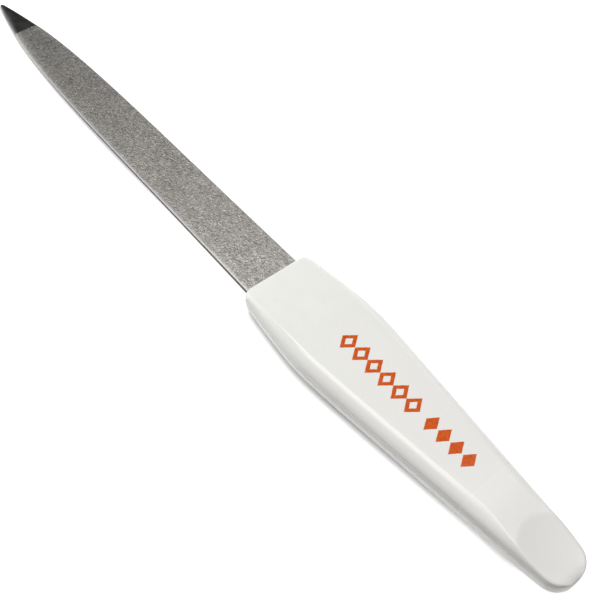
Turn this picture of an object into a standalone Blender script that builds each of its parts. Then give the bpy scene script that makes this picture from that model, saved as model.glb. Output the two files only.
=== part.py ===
"""A sapphire nail file: a pointed steel blade with a grit coat on each face, moulded into a white plastic handle.

The file lies flat along X with its point at -X, and its origin is under the middle of its length.
"""

import math

import bmesh
import bpy

MM = 0.001

# Blade, from its point to the front of the handle
BLADE_LENGTH = 75.6 * MM
BLADE_WIDTH = 8.8 * MM
BLADE_THICKNESS = 0.8 * MM
POINT_THICKNESS = 0.42 * MM
POINT_RADIUS = 0.4 * MM
POINT_BLUNTNESS = 0.12 * MM
# The edges are rounded off broadly at the point and only lightly near the handle
POINT_EDGE_ROUND = 1.0 * MM
HEEL_EDGE_ROUND = 0.32 * MM
POINT_EDGE_DEPTH_SHARE = 0.42
HEEL_EDGE_DEPTH_SHARE = 0.22
EDGE_ROUND_RUN = 18 * MM
EDGE_ROUND_WIDTH_SHARE = 0.75

# Half of the blade's outline: distance from the point as a share of its length, half width as a share
BLADE_OUTLINE_SHARES = (
    (0.0, 0.09),
    (0.04, 0.255),
    (0.09, 0.422),
    (0.142, 0.578),
    (0.192, 0.67),
    (0.242, 0.74),
    (0.318, 0.816),
    (0.464, 0.89),
    (0.6, 0.921),
    (0.8, 0.955),
    (1.0, 1.0),
)

# Tang, the part of the blade inside the handle, which the plastic grips through two holes
SHOULDER_DEPTH = 2.4 * MM
SHOULDER_RUN = 1.2 * MM
TANG_WIDTH = 5.4 * MM
TANG_LENGTH = 34 * MM
KEY_HOLE_COUNT = 2
KEY_HOLE_DIAMETER = 2.4 * MM
FIRST_KEY_HOLE_DEPTH = 9 * MM
KEY_HOLE_SPACING = 16 * MM
TANG_CLEARANCE = 0.1 * MM

# Grit coat on each face of the blade
BARE_POINT_LENGTH = 8.4 * MM
COAT_THICKNESS = 0.11 * MM
COAT_BORDER = 0.05 * MM
BARE_EDGE_SHARE = 0.6
COAT_SEAT_GAP = 0.01 * MM
COAT_HEEL_GAP = 0.3 * MM
COAT_EDGE_CHAMFER = 0.05 * MM

# Handle outline: it widens to a shoulder, then tapers to a rounded end
HANDLE_LENGTH = 54.4 * MM
HANDLE_FRONT_WIDTH = 11.2 * MM
HANDLE_WIDTH = 13.7 * MM
HANDLE_END_WIDTH = 6 * MM
SHOULDER_FROM_FRONT = 12.8 * MM
SHOULDER_SOFTNESS = 0.3 * MM
FRONT_CORNER_RADIUS = 1.2 * MM
END_CORNER_LENGTH = 2.4 * MM
END_CORNER_WIDTH = 2.6 * MM

# Handle side profile
HANDLE_THICKNESS = 5.2 * MM
HANDLE_FRONT_THICKNESS = 3.3 * MM
FRONT_RISE = 12 * MM
# The top face rolls off from ahead of the scoop to a little behind its start
ROLL_OFF_FROM_END = 12.6 * MM
ROLL_OFF_LENGTH = 6.3 * MM
ROLL_OFF_DEPTH = 0.36 * MM
ROLL_OFF_SPREAD = 0.9 * MM
UNDERSIDE_LIFT_FROM_END = 12 * MM
UNDERSIDE_LIFT = 1.1 * MM
FRONT_EDGE_RADIUS = 0.4 * MM
END_EDGE_RADIUS = 1.3 * MM

# Handle cross-section: flat top and bottom, rounded flanks, and upright walls that meet at the parting line
FLANK_WIDTH = 1.5 * MM
FRONT_FLANK_WIDTH = 0.6 * MM
FLANK_RUN = 15 * MM
WALL_HEIGHT = 0.75 * MM
FLANK_TURN = math.radians(52)
RIDGE_ROUND = 0.14 * MM
FLASH_HEIGHT = 0.12 * MM
FLASH_PROUD = 0.06 * MM
MOULD_STEP = 0.06 * MM

# Scoop in the top of the rounded end, for pushing back the cuticle
SCOOP_LENGTH = 8.4 * MM
SCOOP_LIP_HEIGHT = 0.95 * MM
SCOOP_CROSS_RADIUS = 19 * MM
SCOOP_HOLLOW_SHARE = 0.5
SCOOP_FRONT_SOFTNESS = 0.06 * MM
SCOOP_FRONT_SPREAD = 2.6 * MM
SCOOP_EDGE_ROUND = 0.7 * MM
# A rounded edge uses no more than this share of the side below it
MOST_ROUND_SHARE = 0.8

CUT_OVERRUN = 2 * MM
SHARP_EDGE_TURN = math.radians(40)

# Places that follow from the sizes above
POINT_X = -(BLADE_LENGTH + HANDLE_LENGTH) / 2
HANDLE_FRONT_X = POINT_X + BLADE_LENGTH
MID_HEIGHT = HANDLE_THICKNESS / 2
# The mould parts level with the upper face of the blade
PARTING_RISE = BLADE_THICKNESS / 2
TANG_END = BLADE_LENGTH + TANG_LENGTH


def clear_scene():
    for item in list(bpy.data.objects):
        bpy.data.objects.remove(item, do_unlink=True)


def surface(name, colour, roughness, metallic):
    material = bpy.data.materials.new(name)
    material.use_nodes = True
    shader = material.node_tree.nodes["Principled BSDF"]
    shader.inputs["Base Color"].default_value = (*colour, 1.0)
    shader.inputs["Roughness"].default_value = roughness
    shader.inputs["Metallic"].default_value = metallic
    return material


def ease(share):
    """Goes from 0 to 1 with a level start and end."""
    share = min(max(share, 0.0), 1.0)
    return (1 - math.cos(math.pi * share)) / 2


def smooth_through(points, at):
    """Height at a place on the curve through the points, with no overshoot between them."""
    slopes = [(b[1] - a[1]) / (b[0] - a[0]) for a, b in zip(points, points[1:])]
    inner = [2 * p * q / (p + q) if p * q > 0 else 0.0 for p, q in zip(slopes, slopes[1:])]
    tangents = [slopes[0], *inner, slopes[-1]]
    i = 0
    while i < len(points) - 2 and at > points[i + 1][0]:
        i += 1
    (x0, y0), (x1, y1) = points[i], points[i + 1]
    span = x1 - x0
    s = min(max((at - x0) / span, 0.0), 1.0)
    return (
        y0 * (1 + 2 * s) * (1 - s) ** 2
        + y1 * s * s * (3 - 2 * s)
        + span * tangents[i] * s * (1 - s) ** 2
        - span * tangents[i + 1] * s * s * (1 - s)
    )


def round_off(distance, radius):
    """Share of full size at a distance inside a quarter-round corner."""
    if distance >= radius:
        return 1.0
    return math.sqrt(max(1 - (1 - distance / radius) ** 2, 0.0))


def evenly(start, end, count):
    """Places from start to end, both included."""
    return [start + (end - start) * i / count for i in range(count + 1)]


def round_places(length, steps):
    """Places from 0 to a length, which close in on 0 as evenly turned points of a quarter-round corner do."""
    return [(1 - math.cos(turn)) * length for turn in evenly(0, math.pi / 2, steps)]


def loft(name, rings, material):
    """One closed body from rings of as many points each, with a flat face over the first and the last."""
    mesh = bpy.data.meshes.new(name)
    body = bmesh.new()
    loops = [[body.verts.new(point) for point in ring] for ring in rings]
    count = len(loops[0])
    for near, far in zip(loops, loops[1:]):
        for i in range(count):
            j = (i + 1) % count
            body.faces.new((near[i], near[j], far[j], far[i]))
    body.faces.new(list(reversed(loops[0])))
    body.faces.new(loops[-1])
    bmesh.ops.recalc_face_normals(body, faces=body.faces)
    body.to_mesh(mesh)
    body.free()
    mesh.shade_smooth()
    mesh.set_sharp_from_angle(angle=SHARP_EDGE_TURN)
    thing = bpy.data.objects.new(name, mesh)
    if material:
        mesh.materials.append(material)
    bpy.context.scene.collection.objects.link(thing)
    return thing


def make_cutter(thing):
    thing.hide_render = True
    thing.display_type = "WIRE"
    return thing


def cylinder_cutter(name, radius, height, place):
    mesh = bpy.data.meshes.new(name)
    body = bmesh.new()
    bmesh.ops.create_cone(
        body, cap_ends=True, segments=40, radius1=radius, radius2=radius, depth=height
    )
    body.to_mesh(mesh)
    body.free()
    thing = bpy.data.objects.new(name, mesh)
    thing.location = place
    bpy.context.scene.collection.objects.link(thing)
    return make_cutter(thing)


def cut(thing, cutter):
    change = thing.modifiers.new(f"cut_{cutter.name}", "BOOLEAN")
    change.operation = "DIFFERENCE"
    change.object = cutter


def blade_half_width(x):
    share = smooth_through(BLADE_OUTLINE_SHARES, x / BLADE_LENGTH)
    half = share * BLADE_WIDTH / 2 * round_off(x, POINT_RADIUS)
    return max(half, POINT_BLUNTNESS / 2)


def blade_thickness(x):
    share = min(x / BLADE_LENGTH, 1.0)
    return POINT_THICKNESS + (BLADE_THICKNESS - POINT_THICKNESS) * share


def edge_round(x):
    return POINT_EDGE_ROUND + (HEEL_EDGE_ROUND - POINT_EDGE_ROUND) * ease(x / EDGE_ROUND_RUN)


def plate_ring(x, half_width, thickness):
    """Section of a flat plate with rounded edges, across X."""
    half = thickness / 2
    deep = POINT_EDGE_DEPTH_SHARE
    drop = thickness * (deep + (HEEL_EDGE_DEPTH_SHARE - deep) * ease(x / EDGE_ROUND_RUN))
    rounding = min(edge_round(x), half_width * EDGE_ROUND_WIDTH_SHARE)
    corner = [
        (half_width - rounding * (1 - math.sin(turn)), half - drop * (1 - math.cos(turn)))
        for turn in evenly(0, math.pi / 2, 4)
    ]
    right = corner + [(y, -z) for y, z in reversed(corner)]
    left = [(-y, z) for y, z in reversed(right)]
    return [(x, y, z) for y, z in right + left]


def blade_rings(start=0.0, grow=0.0):
    """Sections of the blade and tang from a place on. The cutter for their seat is grown by a clearance."""
    exposed = round_places(POINT_RADIUS, 6)
    exposed += evenly(POINT_RADIUS, EDGE_ROUND_RUN, 26)[1:]
    exposed += evenly(EDGE_ROUND_RUN, BLADE_LENGTH, 18)[1:]
    rings = []
    for x in [start] + [x for x in exposed if x > start]:
        thickness = blade_thickness(x) + 2 * grow
        rings.append(plate_ring(x, blade_half_width(x) + grow, thickness))
    inside = (
        (BLADE_LENGTH + SHOULDER_DEPTH, BLADE_WIDTH / 2),
        (BLADE_LENGTH + SHOULDER_DEPTH + SHOULDER_RUN, TANG_WIDTH / 2),
        (TANG_END - SHOULDER_RUN, TANG_WIDTH / 2),
        (TANG_END + grow, TANG_WIDTH / 2 - SHOULDER_RUN),
    )
    for x, half in inside:
        rings.append(plate_ring(x, half + grow, BLADE_THICKNESS + 2 * grow))
    return rings


def key_hole_places():
    first = HANDLE_FRONT_X + FIRST_KEY_HOLE_DEPTH
    return [(first + i * KEY_HOLE_SPACING, 0, MID_HEIGHT) for i in range(KEY_HOLE_COUNT)]


def make_blade():
    steel = surface("polished_steel", (0.30, 0.30, 0.30), 0.28, 1.0)
    blade = loft("file_blade", blade_rings(), steel)
    blade.location = (POINT_X, 0, MID_HEIGHT)
    for i, place in enumerate(key_hole_places()):
        hole = cylinder_cutter(
            f"key_hole_cutter_{i + 1}", KEY_HOLE_DIAMETER / 2, BLADE_THICKNESS + CUT_OVERRUN, place
        )
        cut(blade, hole)
    return blade


def coat_rings(side):
    """Sections of a thin layer on one face, which ends where the edge begins to turn down."""
    rings = []
    for x in evenly(BARE_POINT_LENGTH, BLADE_LENGTH - COAT_HEEL_GAP, 44):
        half = blade_half_width(x) - edge_round(x) * BARE_EDGE_SHARE - COAT_BORDER
        low = blade_thickness(x) / 2 + COAT_SEAT_GAP
        high = low + COAT_THICKNESS
        eased = high - COAT_EDGE_CHAMFER
        upper = [(half, low), (half, eased), (half - COAT_EDGE_CHAMFER, high)]
        section = upper + [(-y, z) for y, z in reversed(upper)]
        rings.append([(x, y, side * z) for y, z in section])
    return rings


def make_coats():
    grit = surface("sapphire_grit", (0.27, 0.26, 0.25), 0.62, 0.0)
    coats = []
    for name, side in (("grit_coat_top", 1), ("grit_coat_underside", -1)):
        coat = loft(name, coat_rings(side), grit)
        coat.location = (POINT_X, 0, MID_HEIGHT)
        coats.append(coat)
    return coats


def handle_half_width(d):
    """Half width at the parting line, at a distance behind the handle's front."""
    peak = HANDLE_WIDTH / 2 + SHOULDER_SOFTNESS
    front = HANDLE_FRONT_WIDTH / 2
    rear = HANDLE_END_WIDTH / 2
    widening = front + (peak - front) * d / SHOULDER_FROM_FRONT
    narrowing = peak + (rear - peak) * (d - SHOULDER_FROM_FRONT) / (HANDLE_LENGTH - SHOULDER_FROM_FRONT)
    apart = (widening - narrowing) / 2
    return (widening + narrowing) / 2 - math.hypot(apart, SHOULDER_SOFTNESS)


def rise_of_face(d):
    """Height of the flat faces over the middle plane, before either end is shaped."""
    front = HANDLE_FRONT_THICKNESS / 2
    full = HANDLE_THICKNESS / 2
    return full - (full - front) * (1 - min(d / FRONT_RISE, 1)) ** 2


def roll_off(d):
    """Share of the roll-off that a place has reached."""
    return ease((d - HANDLE_LENGTH + ROLL_OFF_FROM_END) / ROLL_OFF_LENGTH)


def top_height(d):
    """Height of the top face over the middle plane, before the scoop."""
    return rise_of_face(d) - ROLL_OFF_DEPTH * roll_off(d)


def soft_least(a, b, reach):
    """The lesser of two heights, rounded where they come within a reach of each other."""
    overlap = max(reach - abs(a - b), 0) / reach
    return min(a, b) - reach * overlap**2 / 4


def scooped_height(d, y):
    """Height of the top over the middle plane with the scoop, which is hollow along and across."""
    depth = top_height(HANDLE_LENGTH - SCOOP_LENGTH) - SCOOP_LIP_HEIGHT
    along = (HANDLE_LENGTH - d) / SCOOP_LENGTH
    slope = 1 - SCOOP_HOLLOW_SHARE * (1 - along)
    scoop = SCOOP_LIP_HEIGHT + depth * along * slope + y**2 / (2 * SCOOP_CROSS_RADIUS)
    return soft_least(top_height(d), scoop, SCOOP_FRONT_SOFTNESS)


def underside_depth(d):
    share = (d - HANDLE_LENGTH + UNDERSIDE_LIFT_FROM_END) / UNDERSIDE_LIFT_FROM_END
    return rise_of_face(d) - UNDERSIDE_LIFT * max(share, 0) ** 2


def corner_shares(d, half_width):
    """How much of the section's width and of its thickness is left by the rounded corners of both ends."""
    to_end = HANDLE_LENGTH - d
    half_thickness = rise_of_face(d)
    off_width = FRONT_CORNER_RADIUS * (1 - round_off(d, FRONT_CORNER_RADIUS))
    off_width += END_CORNER_WIDTH * (1 - round_off(to_end, END_CORNER_LENGTH))
    off_thickness = FRONT_EDGE_RADIUS * (1 - round_off(d, FRONT_EDGE_RADIUS))
    off_thickness += END_EDGE_RADIUS * (1 - round_off(to_end, END_EDGE_RADIUS))
    return 1 - off_width / half_width, 1 - off_thickness / half_thickness


def flank_width(d):
    """Width of the rounded flank beside the top face. It narrows where the top face rolls off."""
    width = FRONT_FLANK_WIDTH + (FLANK_WIDTH - FRONT_FLANK_WIDTH) * ease(d / FLANK_RUN)
    return width - ROLL_OFF_SPREAD * roll_off(d)


def edge_of_top(d):
    """Radius of the edge round the top: a fine ridge, which softens along the scoop."""
    along = 1 - (HANDLE_LENGTH - d) / SCOOP_LENGTH
    return RIDGE_ROUND + (SCOOP_EDGE_ROUND - RIDGE_ROUND) * ease(along)


def side_curve(half_width, height, flank):
    """Points from the parting line up the wall and round the flank to a flat face of that height."""
    across = flank / (1 - math.cos(FLANK_TURN))
    upward = (height - WALL_HEIGHT) / math.sin(FLANK_TURN)
    curve = [
        (half_width - across * (1 - math.cos(turn)), WALL_HEIGHT + upward * math.sin(turn))
        for turn in evenly(0, FLANK_TURN, 12)
    ]
    return [(half_width, 0.0), *curve]


def cut_at_face(curve, face):
    """The curve up to the place where it meets the face, a function from y to height."""
    kept = [curve[0]]
    for (y0, z0), (y1, z1) in zip(curve, curve[1:]):
        under, over = face(y0) - z0, z1 - face(y1)
        if over >= 0:
            share = under / (under + over)
            return [*kept, (y0 + (y1 - y0) * share, z0 + (z1 - z0) * share)]
        kept.append((y1, z1))
    return kept


def along_curve(curve, lengths):
    """Points at given lengths along a line of points."""
    steps = [math.dist(a, b) for a, b in zip(curve, curve[1:])]
    found = []
    for length in lengths:
        i = 0
        while i < len(steps) - 1 and length > steps[i]:
            length -= steps[i]
            i += 1
        (y0, z0), (y1, z1) = curve[i], curve[i + 1]
        found.append((y0 + (y1 - y0) * length / steps[i], z0 + (z1 - z0) * length / steps[i]))
    return found


def half_section(curve, face, radius, face_steps, side_steps):
    """Points from the middle of a face out over its rounded edge and down to the parting line."""
    side = cut_at_face(curve, face)
    corner = side[-1]
    length = sum(math.dist(a, b) for a, b in zip(side, side[1:]))
    radius = min(radius, length * MOST_ROUND_SHARE)
    reach = corner[0] - radius
    top = [reach * (i + 1 / 2) / face_steps for i in range(face_steps)] + [reach]
    flat = [(y, face(y)) for y in top]
    down = along_curve(side, reversed(evenly(FLASH_HEIGHT, length - radius, side_steps)))
    bend = [
        tuple(
            (1 - t) ** 2 * a + 2 * t * (1 - t) * b + t * t * c
            for a, b, c in zip(flat[-1], corner, down[0])
        )
        for t in evenly(0, 1, 4)[1:-1]
    ]
    return [*flat, *bend, *down]


def handle_ring(d):
    half_width = handle_half_width(d)
    flank = flank_width(d)
    top = top_height(d) - PARTING_RISE
    bottom = underside_depth(d) + PARTING_RISE
    upper = half_section(
        side_curve(half_width, top, flank),
        lambda y: scooped_height(d, y) - PARTING_RISE,
        edge_of_top(d),
        9,
        9,
    )
    lower = half_section(
        side_curve(half_width - MOULD_STEP, bottom, flank), lambda y: bottom, RIDGE_ROUND, 2, 6
    )
    flash = [
        (half_width, FLASH_HEIGHT / 2),
        (half_width + FLASH_PROUD, 0.0),
        (half_width - MOULD_STEP, -FLASH_HEIGHT / 2),
    ]
    right = upper + flash + [(y, -z) for y, z in reversed(lower)]
    left = [(-y, z) for y, z in reversed(right)]
    wide, thick = corner_shares(d, half_width)
    return [(d, y * wide, (z + PARTING_RISE) * thick) for y, z in right + left]


def handle_places():
    """Places of the handle's sections, close together at both ends and where the scoop begins."""
    roll_off_start = HANDLE_LENGTH - ROLL_OFF_FROM_END
    scoop_start = HANDLE_LENGTH - SCOOP_LENGTH
    scoop_side = scoop_start + SCOOP_FRONT_SPREAD
    places = round_places(FRONT_CORNER_RADIUS, 7)
    places += evenly(FRONT_CORNER_RADIUS, SHOULDER_FROM_FRONT * 2, 20)[1:]
    places += evenly(SHOULDER_FROM_FRONT * 2, roll_off_start, 7)[1:]
    places += evenly(roll_off_start, scoop_start, 8)[1:]
    places += evenly(scoop_start, scoop_side, 10)[1:]
    places += evenly(scoop_side, HANDLE_LENGTH - END_CORNER_LENGTH, 6)[1:]
    end = [HANDLE_LENGTH - place for place in round_places(END_CORNER_LENGTH, 10)]
    return places + list(reversed(end))[1:]


def make_seat_cutter():
    """The blade and tang grown by the clearance, less the plastic that runs through the tang's holes."""
    rings = blade_rings(BLADE_LENGTH - CUT_OVERRUN, TANG_CLEARANCE)
    seat = make_cutter(loft("tang_seat_cutter", rings, None))
    seat.location = (POINT_X, 0, MID_HEIGHT)
    for i, place in enumerate(key_hole_places()):
        plug = cylinder_cutter(
            f"key_plug_{i + 1}",
            KEY_HOLE_DIAMETER / 2 - TANG_CLEARANCE,
            BLADE_THICKNESS + CUT_OVERRUN,
            place,
        )
        cut(seat, plug)
    return seat


def make_handle():
    plastic = surface("white_plastic", (0.80, 0.79, 0.77), 0.3, 0.0)
    handle = loft("handle", [handle_ring(d) for d in handle_places()], plastic)
    handle.location = (HANDLE_FRONT_X, 0, MID_HEIGHT)
    cut(handle, make_seat_cutter())
    return handle


def main():
    clear_scene()
    whole = bpy.data.objects.new("sapphire_nail_file", None)
    bpy.context.scene.collection.objects.link(whole)
    for piece in (make_blade(), *make_coats(), make_handle()):
        piece.parent = whole


main()
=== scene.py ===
"""Looks of the sapphire nail file: its materials, the relief of its grit, its motif, and a pale studio."""

import math

import bmesh
import bpy
import numpy as np
from mathutils import Matrix, Vector, noise
from mathutils.bvhtree import BVHTree


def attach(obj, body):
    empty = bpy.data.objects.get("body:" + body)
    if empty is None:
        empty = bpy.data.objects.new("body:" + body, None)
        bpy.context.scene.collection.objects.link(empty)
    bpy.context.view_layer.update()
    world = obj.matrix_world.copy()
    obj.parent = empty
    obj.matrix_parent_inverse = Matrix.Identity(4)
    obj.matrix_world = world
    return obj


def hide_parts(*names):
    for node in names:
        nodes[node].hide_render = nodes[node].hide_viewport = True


MM = 0.001

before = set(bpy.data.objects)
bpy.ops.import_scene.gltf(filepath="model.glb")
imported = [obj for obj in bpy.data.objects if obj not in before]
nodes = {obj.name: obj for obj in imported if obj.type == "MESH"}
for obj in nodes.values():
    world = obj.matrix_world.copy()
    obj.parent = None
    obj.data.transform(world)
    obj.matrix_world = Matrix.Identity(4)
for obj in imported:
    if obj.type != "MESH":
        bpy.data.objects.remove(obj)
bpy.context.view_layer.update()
scene = bpy.context.scene


def dress(thing, material):
    thing.data.materials.clear()
    thing.data.materials.append(material)


def as_object(name, body):
    """A linked object made of a finished body."""
    mesh = bpy.data.meshes.new(name)
    body.to_mesh(mesh)
    body.free()
    thing = bpy.data.objects.new(name, mesh)
    scene.collection.objects.link(thing)
    return thing


# Camera: where the photograph was taken from, in the part's frame

CAMERA_PLACE = (72.111 * MM, -52.569 * MM, 105.459 * MM)
CAMERA_RIGHT = (0.634239, 0.771732, 0.046582)
CAMERA_DOWN = (0.635006, -0.485609, -0.600792)
FOCAL_PIXELS = 951.0
LONG_SIDE_PIXELS = 600
SENSOR_WIDTH = 36.0
CLIP_START = 1 * MM
CLIP_END = 100


def make_camera():
    right = Vector(CAMERA_RIGHT).normalized()
    up = -Vector(CAMERA_DOWN)
    up = (up - right * up.dot(right)).normalized()
    back = right.cross(up)
    data = bpy.data.cameras.new("camera")
    data.sensor_width = SENSOR_WIDTH
    data.lens = FOCAL_PIXELS / LONG_SIDE_PIXELS * SENSOR_WIDTH
    data.clip_start = CLIP_START
    data.clip_end = CLIP_END
    camera = bpy.data.objects.new("camera", data)
    camera.matrix_world = Matrix.Translation(CAMERA_PLACE) @ Matrix((right, up, back)).transposed().to_4x4()
    scene.collection.objects.link(camera)
    scene.camera = camera


# Floor: the file lies on it with its point down, so the floor touches the point and the handle

FLOOR_SIZE = 4
FLOOR_CLEARANCE = 0.02 * MM
TIP_LENGTH = 1 * MM


def support_slope():
    """(place of the point, slope along X) of the plane that the file lies on."""
    blade = np.array([v.co for v in nodes["file_blade"].data.vertices])
    handle = np.array([v.co for v in nodes["handle"].data.vertices])
    tip = blade[blade[:, 0] < blade[:, 0].min() + TIP_LENGTH]
    low = tip[tip[:, 2].argmin()]
    slope = ((handle[:, 2] - low[2]) / (handle[:, 0] - low[0])).min()
    return Vector((low[0], 0, low[2])), float(slope)


def make_floor():
    place, slope = support_slope()
    body = bmesh.new()
    bmesh.ops.create_grid(body, x_segments=1, y_segments=1, size=FLOOR_SIZE)
    floor = as_object("floor", body)
    floor.location = place - Vector((0, 0, FLOOR_CLEARANCE))
    floor.rotation_euler = (0, -math.atan(slope), 0)
    return floor


# Shader nodes

BEVEL_SAMPLES = 6
CONTACT_SAMPLES = 8
# Where most values of a noise lie
NOISE_LIMITS = (0.3, 0.7)


class Shader:
    """Short names for making and joining shader nodes."""

    def __init__(self, tree):
        self.tree = tree
        tree.nodes.clear()

    def add(self, kind, **settings):
        node = self.tree.nodes.new(kind)
        for name, value in settings.items():
            setattr(node, name, value)
        return node

    def put(self, socket, value):
        """Join an output to a socket, or set the socket's constant."""
        if isinstance(value, bpy.types.NodeSocket):
            self.tree.links.new(value, socket)
        elif value is not None:
            socket.default_value = value

    def place(self):
        """The place in the part's frame."""
        return self.add("ShaderNodeTexCoord").outputs["Object"]

    def upward(self):
        """The vertical part of the surface's normal, 1 where it faces up."""
        return self.parts(self.add("ShaderNodeNewGeometry").outputs["Normal"])[2]

    def parts(self, vector):
        node = self.add("ShaderNodeSeparateXYZ")
        self.put(node.inputs[0], vector)
        return node.outputs[0], node.outputs[1], node.outputs[2]

    def stretch(self, vector, factors):
        """The vector with each axis multiplied by its own factor."""
        node = self.add("ShaderNodeVectorMath", operation="MULTIPLY")
        self.put(node.inputs[0], vector)
        self.put(node.inputs[1], factors)
        return node.outputs["Vector"]

    def tint(self, colour, share):
        """A constant colour multiplied by a share."""
        node = self.add("ShaderNodeVectorMath", operation="SCALE")
        self.put(node.inputs[0], colour)
        self.put(node.inputs["Scale"], share)
        return node.outputs["Vector"]

    def math(self, operation, *values):
        node = self.add("ShaderNodeMath", operation=operation)
        for socket, value in zip(node.inputs, values):
            self.put(socket, value)
        return node.outputs[0]

    def plus(self, a, b):
        return self.math("ADD", a, b)

    def times(self, a, b):
        return self.math("MULTIPLY", a, b)

    def spread(self, value, limits, results=(0.0, 1.0), kind="SMOOTHSTEP"):
        """The first result up to the first limit, the second from the second, eased between them."""
        node = self.add("ShaderNodeMapRange", interpolation_type=kind)
        for socket, item in zip(node.inputs, (value, *limits, *results)):
            self.put(socket, item)
        return node.outputs[0]

    def inside(self, value, low, high, soft):
        """1 where the value is between two limits, with soft ends."""
        rise = self.spread(value, (low - soft, low + soft))
        fall = self.spread(value, (high - soft, high + soft), (1.0, 0.0))
        return self.times(rise, fall)

    def mix(self, share, a, b):
        node = self.add("ShaderNodeMix", data_type="RGBA")
        self.put(node.inputs["Factor"], share)
        self.put(node.inputs["A"], a)
        self.put(node.inputs["B"], b)
        return node.outputs["Result"]

    def noise(self, where, size, detail=2.0, roughness=0.5):
        """Noise in patches of one size, or of a length, width and height."""
        scale = 1.0
        if isinstance(size, tuple):
            where = self.stretch(where, tuple(1 / length for length in size))
        else:
            scale = 1 / size
        node = self.add("ShaderNodeTexNoise")
        self.put(node.inputs["Vector"], where)
        self.put(node.inputs["Scale"], scale)
        self.put(node.inputs["Detail"], detail)
        self.put(node.inputs["Roughness"], roughness)
        return node.outputs["Fac"]

    def cells(self, where, size, feature="F1"):
        """Cells of one size, each with its own colour."""
        node = self.add("ShaderNodeTexVoronoi", feature=feature)
        self.put(node.inputs["Vector"], where)
        self.put(node.inputs["Scale"], 1 / size)
        return node

    def soft_edges(self, radius):
        """Normals that turn evenly over edges closer together than a radius."""
        node = self.add("ShaderNodeBevel", samples=BEVEL_SAMPLES)
        self.put(node.inputs["Radius"], radius)
        return node.outputs["Normal"]

    def bump(self, height, relief, normal=None):
        """Normals of a height map. Its relief is (strength, distance)."""
        node = self.add("ShaderNodeBump")
        self.put(node.inputs["Height"], height)
        self.put(node.inputs["Strength"], relief[0])
        self.put(node.inputs["Distance"], relief[1])
        self.put(node.inputs["Normal"], normal)
        return node.outputs["Normal"]

    def principled(self, **values):
        """The surface itself, its sockets named with an underscore for each space."""
        surface = self.add("ShaderNodeBsdfPrincipled")
        for name, value in values.items():
            self.put(surface.inputs[name.replace("_", " ")], value)
        self.output(surface)

    def output(self, surface, kind="ShaderNodeOutputMaterial"):
        self.put(self.add(kind).inputs["Surface"], surface.outputs[0])


def new_material(name):
    material = bpy.data.materials.new(name)
    material.use_nodes = True
    return material, Shader(material.node_tree)


# Floor material

FLOOR_COLOUR = (0.7, 0.7, 0.7, 1)
CONTACT_REACH = 1.6 * MM
# Shares of free space round a place on the floor, where the contact shadow is full and where it has gone
CONTACT_LIMITS = (0.35, 0.85)
CONTACT_GLOW = 0.12
OPEN_GLOW = 0.8


def floor_material():
    """White table. Its glow for the camera leaves a shadow only close to where the file lies on it."""
    material, make = new_material("white_table")
    diffuse = make.add("ShaderNodeBsdfDiffuse")
    make.put(diffuse.inputs["Color"], FLOOR_COLOUR)
    near = make.add("ShaderNodeAmbientOcclusion", samples=CONTACT_SAMPLES)
    make.put(near.inputs["Distance"], CONTACT_REACH)
    strength = make.spread(near.outputs["AO"], CONTACT_LIMITS, (CONTACT_GLOW, OPEN_GLOW))
    ray = make.add("ShaderNodeLightPath")
    seen = make.math("MAXIMUM", ray.outputs["Is Camera Ray"], ray.outputs["Is Glossy Ray"])
    glow = make.add("ShaderNodeEmission")
    make.put(glow.inputs["Strength"], make.times(seen, strength))
    both = make.add("ShaderNodeAddShader")
    make.put(both.inputs[0], diffuse.outputs[0])
    make.put(both.inputs[1], glow.outputs[0])
    make.output(both)
    return material


# Light: soft lights far away, each with azimuth, elevation and half angle in degrees, and strength

SKY_LIGHTS = (
    (0, 90, 30, 0.5),
    (120, 18, 20, 1.9),
    (210, 18, 20, 2.5),
    (180, 18, 20, 0.4),
    (225, 52, 22, 0.3),
    (193, 40, 17, 0.7),
    (20, 40, 22, 0.5),
)
SOFT_EDGE_SHARE = 0.5
BACKDROP_COLOUR = (1, 1, 1, 1)

# A round soft lamp over the blade, close enough that its light falls off a little along the handle
LAMP_PLACE = (-0.045, -0.035, 0.36)
LAMP_SIZE = 0.34
LAMP_POWER = 1.0


def direction(azimuth, elevation):
    around, up = math.radians(azimuth), math.radians(elevation)
    return (math.cos(up) * math.cos(around), math.cos(up) * math.sin(around), math.sin(up))


def sky_light(make, where, azimuth, elevation, half, strength):
    """The strength inside a soft-edged disc of the sky, and 0 outside it."""
    facing = make.add("ShaderNodeVectorMath", operation="DOT_PRODUCT")
    make.put(facing.inputs[0], where)
    make.put(facing.inputs[1], direction(azimuth, elevation))
    outer = math.cos(math.radians(half * (1 + SOFT_EDGE_SHARE)))
    inner = math.cos(math.radians(half * (1 - SOFT_EDGE_SHARE)))
    return make.spread(facing.outputs["Value"], (outer, inner), (0.0, strength))


def make_world():
    """The soft lights, and a plain white backdrop for the camera alone."""
    world = bpy.data.worlds.new("studio")
    world.use_nodes = True
    scene.world = world
    make = Shader(world.node_tree)
    where = make.add("ShaderNodeTexCoord").outputs["Generated"]
    total = sky_light(make, where, *SKY_LIGHTS[0])
    for light in SKY_LIGHTS[1:]:
        total = make.plus(total, sky_light(make, where, *light))
    sky = make.add("ShaderNodeBackground")
    make.put(sky.inputs["Strength"], total)
    backdrop = make.add("ShaderNodeBackground")
    make.put(backdrop.inputs["Color"], BACKDROP_COLOUR)
    choose = make.add("ShaderNodeMixShader")
    make.put(choose.inputs[0], make.add("ShaderNodeLightPath").outputs["Is Camera Ray"])
    make.put(choose.inputs[1], sky.outputs[0])
    make.put(choose.inputs[2], backdrop.outputs[0])
    make.output(choose, "ShaderNodeOutputWorld")


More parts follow.
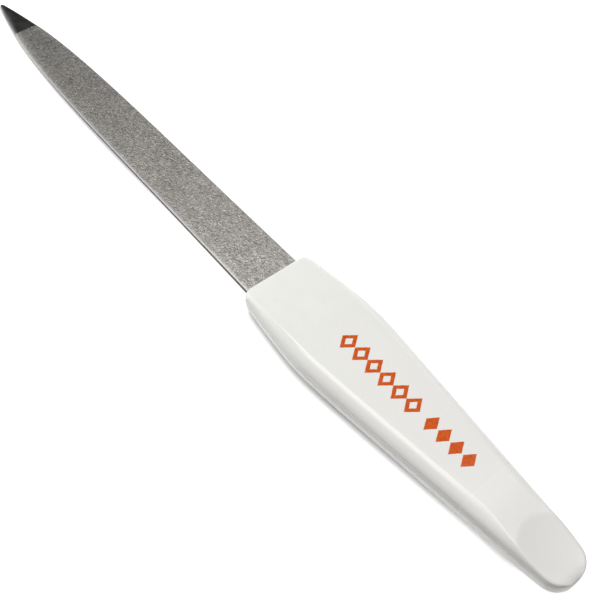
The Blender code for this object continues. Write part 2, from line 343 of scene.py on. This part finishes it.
def make_lamp():
    data = bpy.data.lights.new("lamp", "AREA")
    data.shape = "DISK"
    data.size = LAMP_SIZE
    data.energy = LAMP_POWER
    lamp = bpy.data.objects.new("lamp", data)
    lamp.location = LAMP_PLACE
    scene.collection.objects.link(lamp)


# Grit: each coat is a relief of faceted grains, in the place of the plain layer of the CAD model

GRAIN_SIZE = 0.26 * MM
GRAIN_PITCH = 0.12 * MM
GRAIN_ROWS = 64
# The underside of a coat has one row of points for so many rows of the relief
ROWS_PER_SEAT_ROW = 4
# Grains differ in height by the rise, each has its own tilt, and all fall off towards their borders
GRAIN_RISE = 0.02 * MM
GRAIN_TILT = 0.14
GRAIN_FALL = 0.12
SEAT_GAP = 0.01 * MM
RING_TOLERANCE = 0.001 * MM
RING_DIGITS = 6

# Fixed starts of the random draws
COAT_SEED = 3.7
FRONT_SEED = 3.1
SIDE_SEED = 5
DRAW_SCALE = 37.0

# Ragged borders, where the grains also lie thinner
COAT_FRONT_RAGGED = 0.16 * MM
COAT_SIDE_RAGGED = 0.05 * MM
RAGGED_SCALE = 0.3 * MM
BORDER_RUN = 0.25 * MM
BORDER_THINNING = 0.75

# Near the point the grains reach further over the rounded edge of the steel
WRAP_RUN = 16 * MM
WRAP_BARE_EDGE = 0.14 * MM

# Painted highlight along the edges: the grains are lighter there, most on the side towards negative Y and
# near the point
EDGE_LIGHT_ATTRIBUTE = "painted_edge_light"
EDGE_LIGHT_REACH = 1.7 * MM
EDGE_LIGHT_LEAST = 0.25
EDGE_LIGHT_OTHER_SIDE = 0.3


def outline_of(node):
    """Places along X with half width and thickness of a CAD node, front first.

    The thickness comes out too small where rings of the mesh lack points, as on the coats from -21 to 5 mm.
    """
    points = np.array([v.co for v in node.data.vertices])
    rows = []
    for x in np.unique(np.round(points[:, 0], RING_DIGITS)):
        ring = points[np.abs(points[:, 0] - x) < RING_TOLERANCE]
        rows.append((x, ring[:, 1].max(), np.ptp(ring[:, 2])))
    return np.array(rows)


def at_place(outline, x):
    """(half width, thickness) at a place along X."""
    return tuple(float(np.interp(x, outline[:, 0], outline[:, k])) for k in (1, 2))


def steel_tree():
    mesh = nodes["file_blade"].data
    return BVHTree.FromPolygons([v.co for v in mesh.vertices], [p.vertices for p in mesh.polygons])


def seat_height(steel, x, y, side):
    """Height of the underside of a coat: just off the steel, on its own side of the blade."""
    met = steel.ray_cast(Vector((x, y, side)), Vector((0, 0, -side)))[0]
    return met.z + side * SEAT_GAP


def grain_height(x, y, seed):
    """Height of the faceted grain at a place, over the mean level."""
    distances, places = noise.voronoi(Vector((x / GRAIN_SIZE, y / GRAIN_SIZE, seed)))
    centre = places[0]
    draw = noise.cell_vector(centre * DRAW_SCALE)
    off_x, off_y = x / GRAIN_SIZE - centre.x, y / GRAIN_SIZE - centre.y
    tilt = (draw.x - 0.5) * off_x + (draw.y - 0.5) * off_y
    return GRAIN_RISE * (draw.z - 0.5) + GRAIN_SIZE * (2 * GRAIN_TILT * tilt - GRAIN_FALL * distances[0])


def border_share(from_side, from_front):
    """Share of the full height of the grains, less close to the border of the coat."""
    inward = max(min(from_side / BORDER_RUN, from_front / BORDER_RUN, 1.0), 0.0)
    return 1 - BORDER_THINNING * (1 - inward) ** 2


def edge_light_share(y, from_side, forward):
    """How much painted highlight the grains get along an edge, from 0 to 1."""
    edge_light = max(1 - max(from_side, 0.0) / EDGE_LIGHT_REACH, 0.0) ** 2
    return edge_light * ((EDGE_LIGHT_LEAST + (1 - EDGE_LIGHT_LEAST) * forward) * (1 if y < 0 else EDGE_LIGHT_OTHER_SIDE))


def coat_rows(node_name, side):
    """Rows of points across a coat, front first. Each point is (x, y, underside, height of grain, painted
    edge highlight).
    """
    outline = outline_of(nodes[node_name])
    steel_outline = outline_of(nodes["file_blade"])
    steel = steel_tree()
    seed = COAT_SEED + side
    front, back = outline[0, 0], outline[-1, 0]
    columns = int((back - front) / GRAIN_PITCH)
    for i in range(columns + 1):
        x = front + (back - front) * i / columns
        forward = (1 + math.cos(math.pi * min((x - front) / WRAP_RUN, 1.0))) / 2
        pull = math.exp(-((x - front) / (2 * COAT_FRONT_RAGGED)) ** 2)
        half, thickness = at_place(outline, x)
        wrapped = at_place(steel_outline, x)[0] - WRAP_BARE_EDGE
        half += max(wrapped - half, 0.0) * forward
        row = []
        for j in range(GRAIN_ROWS + 1):
            across = 2 * j / GRAIN_ROWS - 1
            y = across * half
            if j in (0, GRAIN_ROWS):
                y += COAT_SIDE_RAGGED * noise.noise(Vector((x / RAGGED_SCALE, across * SIDE_SEED, seed)))
            ragged = COAT_FRONT_RAGGED * noise.noise(Vector((y / RAGGED_SCALE, FRONT_SEED, seed)))
            place = x + ragged * pull
            from_side = half - abs(y)
            height = (thickness + grain_height(x, y, seed) - GRAIN_RISE) * border_share(from_side, x - front)
            seat = seat_height(steel, place, y, side)
            row.append((place, y, seat, height, edge_light_share(y, from_side, forward)))
        yield row


def add_faces(body, skin, seat):
    """Faces of the relief, of its underside and of the four sides between them."""
    for a, b in zip(skin, skin[1:]):
        for j in range(GRAIN_ROWS):
            body.faces.new((a[j], b[j], b[j + 1], a[j + 1]))
    for a, b in zip(seat, seat[1:]):
        for k in range(len(a) - 1):
            body.faces.new((a[k], a[k + 1], b[k + 1], b[k]))
    for a, b, low_a, low_b in zip(skin, skin[1:], seat, seat[1:]):
        body.faces.new((a[0], low_a[0], low_b[0], b[0]))
        body.faces.new((a[-1], b[-1], low_b[-1], low_a[-1]))
    for row, low in ((skin[0], seat[0]), (skin[-1], seat[-1])):
        for k in range(len(low) - 1):
            first = k * ROWS_PER_SEAT_ROW
            body.faces.new(row[first : first + ROWS_PER_SEAT_ROW + 1] + [low[k + 1], low[k]])
    bmesh.ops.recalc_face_normals(body, faces=body.faces)


def make_grit(name, node_name, side, material):
    """The relief of one coat, on the upper side (1) or the lower side (-1) of the blade."""
    body = bmesh.new()
    skin = []
    seat = []
    painted_edge_light = []
    for row in coat_rows(node_name, side):
        skin.append([])
        seat.append([])
        for j, (x, y, low, height, edge_light) in enumerate(row):
            skin[-1].append(body.verts.new((x, y, low + side * height)))
            painted_edge_light.append(edge_light)
            if j % ROWS_PER_SEAT_ROW == 0:
                seat[-1].append(body.verts.new((x, y, low)))
                painted_edge_light.append(edge_light)
    add_faces(body, skin, seat)
    coat = as_object(name, body)
    # The painted edge highlight is kept in a point attribute for the material
    coat.data.attributes.new(EDGE_LIGHT_ATTRIBUTE, "FLOAT", "POINT").data.foreach_set("value", painted_edge_light)
    dress(coat, material)
    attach(coat, "root")
    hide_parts(node_name)


# Motif: a generic print on the top of the handle, in rows of diamonds along X

OPEN_ROW = dict(start=24.6 * MM, pitch=2.4 * MM, count=6, half_width=1.2 * MM, half_height=1.6 * MM)
FILLED_ROW = dict(start=40 * MM, pitch=2.1 * MM, count=4, half_width=0.92 * MM, half_height=1.4 * MM)
ROW_END_SOFTNESS = 1e-4
STROKE = 0.52 * MM
INK_SOFTNESS = 0.04 * MM
INK_WOBBLE = 0.1 * MM
INK_WOBBLE_SIZE = 0.25 * MM
# The ink lies above this height only
INK_BOTTOM = 4 * MM


def row_of_diamonds(make, x, off, start, pitch, count, half_width, half_height):
    """(distance outside the nearest diamond's edge, 1 along the row) at a place along and off X."""
    along = make.math("DIVIDE", make.math("SUBTRACT", x, start), pitch)
    from_middle = make.math("ABSOLUTE", make.math("SUBTRACT", make.math("FRACT", along), 0.5))
    share = make.plus(make.times(from_middle, pitch / half_width), make.math("DIVIDE", off, half_height))
    to_edge = half_width * half_height / math.hypot(half_width, half_height)
    outside = make.times(make.math("SUBTRACT", share, 1.0), to_edge)
    return outside, make.inside(along, 0.0, float(count), ROW_END_SOFTNESS)


def motif_mask(make, where):
    """1 in the ink: a row of open diamonds, then a row of smaller filled ones."""
    x, y, z = make.parts(where)
    off = make.math("ABSOLUTE", y)
    wobble = make.math("SUBTRACT", make.noise(where, INK_WOBBLE_SIZE, 3), 0.5)
    wobble = make.times(wobble, INK_WOBBLE)
    outside, in_row = row_of_diamonds(make, x, off, **OPEN_ROW)
    ring = make.times(make.inside(make.plus(outside, wobble), -STROKE, 0.0, INK_SOFTNESS), in_row)
    outside, in_row = row_of_diamonds(make, x, off, **FILLED_ROW)
    solid = make.spread(make.plus(outside, wobble), (-INK_SOFTNESS, INK_SOFTNESS), (1.0, 0.0))
    solid = make.times(solid, in_row)
    return make.times(make.math("MAXIMUM", ring, solid), make.math("GREATER_THAN", z, INK_BOTTOM))


# Moulded plastic

WHITES = ((0.82, 0.822, 0.785, 1), (0.845, 0.847, 0.81, 1))
FLOW_SIZE = (6 * MM, 3 * MM, 3 * MM)
HANDLED_WHITE = (0.83, 0.818, 0.786, 1)
HANDLED_RUN = (10 * MM, 50 * MM)
SPECK_COLOUR = (0.70, 0.69, 0.65, 1)
SPECK_SIZE = 0.35 * MM
SPECK_LIMITS = (0.45, 0.8)
SPECK_SHARE = 0.12
ORANGES = ((0.56, 0.065, 0.0, 1), (0.66, 0.11, 0.001, 1))
BLOTCH_SIZE = 0.4 * MM

# Dust and painted shade over the parting line: heights in the part's frame, on upright walls only, and more
# towards the end
DUST_AND_SHADE_COLOUR = (0.48, 0.455, 0.415, 1)
DUST_AND_SHADE_BOTTOM = 2.8 * MM
DUST_AND_SHADE_PEAK = 3.45 * MM
DUST_AND_SHADE_TOP = 4.7 * MM
DUST_AND_SHADE_WALL_LIMITS = (0.5, 0.8)
DUST_AND_SHADE_RUN = (15 * MM, 55 * MM)
DUST_AND_SHADE_SHARES = (0.3, 0.75)

# The scuffs fade before the even roughness of the end begins
GLOSSY_ROUGHNESS = 0.13
SCUFFED_ROUGHNESS = 0.22
SCUFF_SIZE = (4 * MM, 0.12 * MM, 0.12 * MM)
SCUFF_LIMITS = (0.5, 0.8)
SCUFF_FADE_RUN = (36 * MM, 45 * MM)
END_RUN = (44 * MM, 54 * MM)
END_ROUGHNESS = 0.2
INK_ROUGHNESS = 0.06

# Reliefs as (strength, distance)
SKIN_SIZE = 0.5 * MM
SKIN_RELIEF = (0.12, 0.02 * MM)
WAVE_SIZE = 4 * MM
WAVE_RELIEF = (0.2, 0.1 * MM)
INK_RELIEF = (0.3, 0.012 * MM)
PLASTIC_EDGE = 0.12 * MM
PLASTIC_IOR = 1.52


def dust_and_shade_share(make, x, z):
    """Share of dust and painted shade over the parting line."""
    rise = make.spread(z, (DUST_AND_SHADE_BOTTOM, DUST_AND_SHADE_PEAK))
    fall = make.spread(z, (DUST_AND_SHADE_TOP, DUST_AND_SHADE_PEAK))
    walls = make.spread(make.upward(), DUST_AND_SHADE_WALL_LIMITS, (1.0, 0.0))
    amount = make.spread(x, DUST_AND_SHADE_RUN, DUST_AND_SHADE_SHARES, kind="LINEAR")
    return make.times(make.times(make.times(fall, rise), walls), amount)


def plastic_white(make, where):
    """White with faint flow marks, yellower where it is held, with specks, and dust and painted shade over
    the parting line.
    """
    x, _, z = make.parts(where)
    flow = make.noise(where, FLOW_SIZE, 3)
    speck = make.noise(where, SPECK_SIZE, 2)
    white = make.mix(make.spread(flow, NOISE_LIMITS), *WHITES)
    white = make.mix(make.spread(x, HANDLED_RUN), white, HANDLED_WHITE)
    white = make.mix(make.spread(speck, SPECK_LIMITS, (0.0, SPECK_SHARE)), white, SPECK_COLOUR)
    return make.mix(dust_and_shade_share(make, x, z), white, DUST_AND_SHADE_COLOUR)


def plastic_roughness(make, where, ink):
    x = make.parts(where)[0]
    scuffed = make.spread(x, SCUFF_FADE_RUN, (SCUFFED_ROUGHNESS, GLOSSY_ROUGHNESS))
    rough = make.spread(make.noise(where, SCUFF_SIZE, 3), SCUFF_LIMITS, (GLOSSY_ROUGHNESS, scuffed))
    rough = make.plus(rough, make.spread(x, END_RUN, (0.0, END_ROUGHNESS)))
    return make.plus(rough, make.times(ink, INK_ROUGHNESS))


def plastic_relief(make, where, ink):
    relief = make.bump(make.noise(where, SKIN_SIZE, 4), SKIN_RELIEF, make.soft_edges(PLASTIC_EDGE))
    relief = make.bump(make.noise(where, WAVE_SIZE, 1), WAVE_RELIEF, relief)
    return make.bump(ink, INK_RELIEF, relief)


def plastic_material():
    """Glossy moulded plastic with the printed motif."""
    material, make = new_material("moulded_white_plastic")
    where = make.place()
    ink = motif_mask(make, where)
    orange = make.mix(make.spread(make.noise(where, BLOTCH_SIZE, 2), NOISE_LIMITS), *ORANGES)
    make.principled(
        Base_Color=make.mix(ink, plastic_white(make, where), orange),
        Roughness=plastic_roughness(make, where, ink),
        IOR=PLASTIC_IOR,
        Normal=plastic_relief(make, where, ink),
    )
    return material


# Steel: polished at the bare point, ground to a satin edge elsewhere, and rough where it was stamped; the
# point and the upright stamped walls are darkened in colour as painted shade

GROUND_COLOURS = ((0.4, 0.395, 0.39, 1), (0.51, 0.505, 0.5, 1))
SHADED_POINT_COLOURS = ((0.24, 0.235, 0.23, 1), (0.32, 0.315, 0.31, 1))
SHADED_WALL_COLOURS = ((0.03, 0.028, 0.026, 1), (0.085, 0.08, 0.075, 1))
POLISHED_SHADED_RUN = (-57 * MM, -54 * MM)
STAMPED_SHADED_WALL_LIMITS = (0.2, 0.6)
STAMPED_SHADED_RUN = (-58 * MM, -30 * MM)
LINE_SIZE = (6 * MM, 0.07 * MM, 0.07 * MM)
TORN_SIZE = (0.25 * MM, 0.25 * MM, 0.6 * MM)
FINE_ROUGHNESS = 0.6
GROUND_ROUGHNESS = 0.4
POLISHED_ROUGHNESS = 0.18
STAMPED_ROUGHNESS = 0.1
SMEAR_SIZE = 1.6 * MM
SMEAR_LIMITS = (0.3, 0.75)
SMEAR_ROUGHNESS = 0.08
LINE_RELIEF = (0.3, 0.006 * MM)
TORN_RELIEF = (0.6, 0.05 * MM)
STEEL_EDGE = 0.06 * MM


def steel_material():
    material, make = new_material("ground_steel")
    where = make.place()
    x = make.parts(where)[0]
    # The polished point: smoother, and darker in colour as painted shade
    polished_shaded_point = make.spread(x, POLISHED_SHADED_RUN, (1.0, 0.0))
    # Upright walls of the stamped edge: rough and torn, with dark painted shade in their colour
    walls = make.spread(make.math("ABSOLUTE", make.upward()), STAMPED_SHADED_WALL_LIMITS, (1.0, 0.0))
    stamped_shaded_walls = make.times(walls, make.spread(x, STAMPED_SHADED_RUN))
    lines = make.noise(where, LINE_SIZE, 4, FINE_ROUGHNESS)
    torn = make.noise(where, TORN_SIZE, 4, FINE_ROUGHNESS)
    smear = make.noise(where, SMEAR_SIZE, 3)
    ground = make.mix(polished_shaded_point, make.mix(lines, *GROUND_COLOURS), make.mix(lines, *SHADED_POINT_COLOURS))
    rough = make.spread(polished_shaded_point, (0.0, 1.0), (GROUND_ROUGHNESS, POLISHED_ROUGHNESS), kind="LINEAR")
    rough = make.plus(rough, make.spread(smear, SMEAR_LIMITS, (0.0, SMEAR_ROUGHNESS)))
    rough = make.plus(rough, make.times(stamped_shaded_walls, STAMPED_ROUGHNESS))
    relief = make.bump(lines, LINE_RELIEF, make.soft_edges(STEEL_EDGE))
    relief = make.bump(make.times(torn, stamped_shaded_walls), TORN_RELIEF, relief)
    make.principled(
        Base_Color=make.mix(stamped_shaded_walls, ground, make.mix(torn, *SHADED_WALL_COLOURS)),
        Metallic=1.0,
        Roughness=rough,
        Normal=relief,
    )
    return material


# Sapphire grains in a grey bond: each grain has its own tone, and a few catch the light

GRIT_COLOUR = (0.272, 0.26, 0.243)
COARSE_SIZE = 0.38 * MM
COARSE_WEIGHT = 0.4
FINE_SIZE = 0.2 * MM
FINE_WEIGHT = 0.6
TONE_LIMITS = (0.1, 0.9)
TONES = (0.66, 1.34)
# Painted shade: the grit is darker towards the point and lighter towards the handle
PAINTED_SHADE_RUN = (-60 * MM, 10 * MM)
PAINTED_SHADE_TONES = (0.72, 1.27)
CLOUD_SIZE = 3 * MM
CLOUD_TONES = (0.95, 1.05)
EDGE_LIGHT_COLOUR = (0.56, 0.54, 0.51, 1)
EDGE_LIGHT_SHARE = 0.7
SPARK_COLOUR = (0.7, 0.69, 0.67, 1)
SPARK_SHARE = 0.3
SPARK_LIMIT = 0.985
SPARK_SMOOTHING = 0.1
GRIT_ROUGHNESS = (0.44, 0.56)
GRIT_METALLIC = 0.85
GRIT_RELIEF = (0.25, 0.03 * MM)


def grit_tone(make, where, coarse, fine):
    """How light the grit is: a tone for each grain, a painted shade along the blade, and broad clouds."""
    tone = make.plus(make.times(coarse, COARSE_WEIGHT), make.times(fine, FINE_WEIGHT))
    tone = make.spread(tone, TONE_LIMITS, TONES, kind="LINEAR")
    painted_shade = make.spread(make.parts(where)[0], PAINTED_SHADE_RUN, PAINTED_SHADE_TONES, kind="LINEAR")
    cloud = make.spread(make.noise(where, CLOUD_SIZE, 3), NOISE_LIMITS, CLOUD_TONES)
    return make.times(make.times(tone, painted_shade), cloud)


def grit_material():
    material, make = new_material("sapphire_grit")
    where = make.place()
    coarse = make.parts(make.cells(where, COARSE_SIZE).outputs["Color"])
    fine = make.parts(make.cells(where, FINE_SIZE).outputs["Color"])
    colour = make.tint(GRIT_COLOUR, grit_tone(make, where, coarse[0], fine[0]))
    # Painted highlight: lighter grains along the edges of the coat
    painted_edge_light = make.add("ShaderNodeAttribute", attribute_name=EDGE_LIGHT_ATTRIBUTE).outputs["Fac"]
    colour = make.mix(make.times(painted_edge_light, EDGE_LIGHT_SHARE), colour, EDGE_LIGHT_COLOUR)
    spark = make.math("GREATER_THAN", fine[1], SPARK_LIMIT)
    colour = make.mix(make.times(spark, SPARK_SHARE), colour, SPARK_COLOUR)
    rough = make.spread(coarse[2], (0.0, 1.0), GRIT_ROUGHNESS)
    rough = make.math("SUBTRACT", rough, make.times(spark, SPARK_SMOOTHING))
    facets = make.cells(where, FINE_SIZE, "SMOOTH_F1").outputs["Distance"]
    relief = make.bump(facets, GRIT_RELIEF)
    make.principled(Base_Color=colour, Metallic=GRIT_METALLIC, Roughness=rough, Normal=relief)
    return material


make_camera()
dress(make_floor(), floor_material())
make_world()
make_lamp()

dress(nodes["handle"], plastic_material())
dress(nodes["file_blade"], steel_material())
grit = grit_material()
make_grit("grit_relief_top", "grit_coat_top", 1, grit)
make_grit("grit_relief_underside", "grit_coat_underside", -1, grit)

scene.view_settings.view_transform = "Standard"
